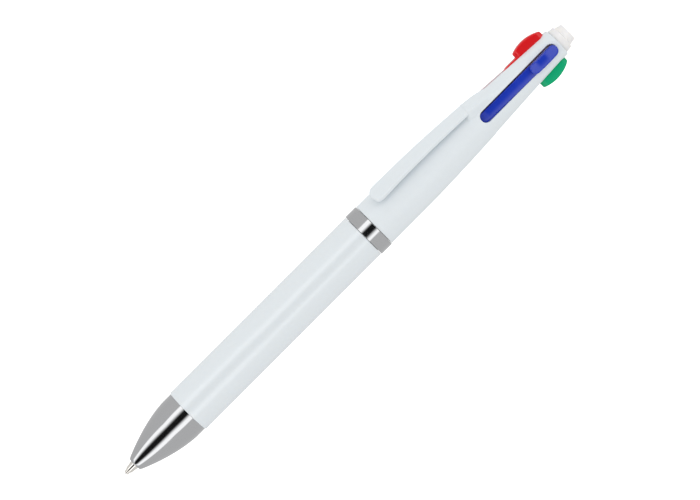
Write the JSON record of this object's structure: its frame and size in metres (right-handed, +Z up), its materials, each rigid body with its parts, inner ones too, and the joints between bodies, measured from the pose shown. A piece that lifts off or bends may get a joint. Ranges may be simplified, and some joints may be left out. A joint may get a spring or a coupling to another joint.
{
  "type": "multicolor click pen",
  "caption": "Multicolour ballpoint pen with a white barrel, a slide button and a sprung refill for each ink colour, a pocket clip, a chrome nose and a chrome centre ring.",
  "frame": {"origin": "under the middle of the pen's length, on the plane that its lowest point, the crown of the black button, rests on", "axes": "+X along the pen's axis from the writing tip to the end plug, +Z up through the blue button, +Y on the red button's side; the clip stands out between +Y and +Z"},
  "size_m": [0.1478, 0.0138, 0.0137],
  "materials": {
    "white_barrel": "glossy moulded plastic",
    "chrome_trim": "mirror plated",
    "frosted_plug": "milky translucent plastic",
    "inner_plastic": "natural moulded plastic",
    "blue_button": "glossy moulded plastic",
    "red_button": "glossy moulded plastic",
    "green_button": "glossy moulded plastic",
    "black_button": "glossy moulded plastic",
    "refill_tube": "milky translucent tube",
    "tip_metal": "turned nickel silver",
    "spring_steel": "drawn spring wire",
    "ball_carbide": "polished carbide"
  },
  "bodies": {
    "upper_body": {"upper_barrel": "white_barrel", "coupler_sleeve": "inner_plastic", "refill_guide": "inner_plastic", "end_plug": "frosted_plug", "spring_blue": "spring_steel", "spring_red": "spring_steel", "spring_green": "spring_steel", "spring_black": "spring_steel"},
    "clip": {"clip_arm": "white_barrel"},
    "ring": {"centre_ring": "chrome_trim"},
    "lower_body": {"lower_barrel": "white_barrel", "nose_cone": "chrome_trim"},
    "slide_blue": {"slider_blue": "blue_button"},
    "slide_red": {"slider_red": "red_button"},
    "slide_green": {"slider_green": "green_button"},
    "slide_black": {"slider_black": "black_button"},
    "refill_blue": {"refill_tube_blue": "refill_tube", "refill_tip_blue": "tip_metal"},
    "refill_red": {"refill_tube_red": "refill_tube", "refill_tip_red": "tip_metal"},
    "refill_green": {"refill_tube_green": "refill_tube", "refill_tip_green": "tip_metal"},
    "refill_black": {"refill_tube_black": "refill_tube", "refill_tip_black": "tip_metal"},
    "point_blue": {"ball_blue": "ball_carbide"},
    "point_red": {"ball_red": "ball_carbide"},
    "point_green": {"ball_green": "ball_carbide"},
    "point_black": {"ball_black": "ball_carbide"}
  },
  "joints": [
    {"name": "blue_slide", "type": "slide", "parent": "upper_body", "child": "slide_blue", "axis": [-1, 0, 0], "range_m": [0, 0.011], "stiffness_N_per_m": 120, "springref_m": -0.01, "deforming": ["spring_blue"]},
    {"name": "red_slide", "type": "slide", "parent": "upper_body", "child": "slide_red", "axis": [-1, 0, 0], "range_m": [0, 0.011], "stiffness_N_per_m": 120, "springref_m": -0.01, "deforming": ["spring_red"]},
    {"name": "green_slide", "type": "slide", "parent": "upper_body", "child": "slide_green", "axis": [-1, 0, 0], "range_m": [0, 0.011], "stiffness_N_per_m": 120, "springref_m": -0.01, "deforming": ["spring_green"]},
    {"name": "black_slide", "type": "slide", "parent": "upper_body", "child": "slide_black", "axis": [-1, 0, 0], "range_m": [-0.011, 0], "deforming": ["spring_black"]},
    {"name": "clip_flex", "type": "hinge", "parent": "upper_body", "child": "clip", "pos_m": [0.04262, 0.004, 0.01087], "axis": [0, 0.7071, -0.7071], "range_deg": [0, 3], "stiffness_Nm_per_rad": 1.5},
    {"name": "barrel_turn", "type": "hinge", "parent": "ring", "child": "lower_body", "pos_m": [0, -0.0006, 0.00627], "axis": [-1, 0, 0], "range_deg": [0, 1800]},
    {"name": "barrel_unscrew", "type": "slide", "parent": "upper_body", "child": "ring", "axis": [-1, 0, 0], "range_m": [0, 0.008]},
    {"name": "blue_refill_lean", "type": "hinge", "parent": "slide_blue", "child": "refill_blue", "pos_m": [0.00127, -0.0006, 0.00887], "axis": [0, -1, 0], "range_deg": [0, 2.33], "deforming": ["refill_tube_blue", "refill_tip_blue", "ball_blue"]},
    {"name": "red_refill_lean", "type": "hinge", "parent": "slide_red", "child": "refill_red", "pos_m": [0.00127, 0.002, 0.00627], "axis": [0, 0, 1], "range_deg": [0, 2.33], "deforming": ["refill_tube_red", "refill_tip_red", "ball_red"]},
    {"name": "green_refill_lean", "type": "hinge", "parent": "slide_green", "child": "refill_green", "pos_m": [0.00127, -0.00319, 0.00627], "axis": [0, 0, -1], "range_deg": [0, 2.33], "deforming": ["refill_tube_green", "refill_tip_green", "ball_green"]},
    {"name": "black_refill_lean", "type": "hinge", "parent": "slide_black", "child": "refill_black", "pos_m": [-0.00973, -0.0006, 0.00367], "axis": [0, 1, 0], "range_deg": [-2.33, 0], "deforming": ["refill_tube_black", "refill_tip_black", "ball_black"]},
    {"name": "blue_ball_roll", "type": "hinge", "parent": "refill_blue", "child": "point_blue", "pos_m": [-0.06251, -0.0006, 0.00887], "axis": [0, -1, 0], "continuous": true},
    {"name": "red_ball_roll", "type": "hinge", "parent": "refill_red", "child": "point_red", "pos_m": [-0.06251, 0.002, 0.00627], "axis": [0, 0, 1], "continuous": true},
    {"name": "green_ball_roll", "type": "hinge", "parent": "refill_green", "child": "point_green", "pos_m": [-0.06251, -0.00319, 0.00627], "axis": [0, 0, -1], "continuous": true},
    {"name": "black_ball_roll", "type": "hinge", "parent": "refill_black", "child": "point_black", "pos_m": [-0.07345, -0.0006, 0.00625], "axis": [0, 1, 0], "continuous": true}
  ],
  "couplings": [
    {"joint": "barrel_turn", "follows": "barrel_unscrew", "rad_per_m": 3927},
    {"joint": "blue_refill_lean", "follows": "blue_slide", "rad_per_m": 3.6827},
    {"joint": "red_refill_lean", "follows": "red_slide", "rad_per_m": 3.6827},
    {"joint": "green_refill_lean", "follows": "green_slide", "rad_per_m": 3.6827},
    {"joint": "black_refill_lean", "follows": "black_slide", "rad_per_m": 3.6827}
  ]
}
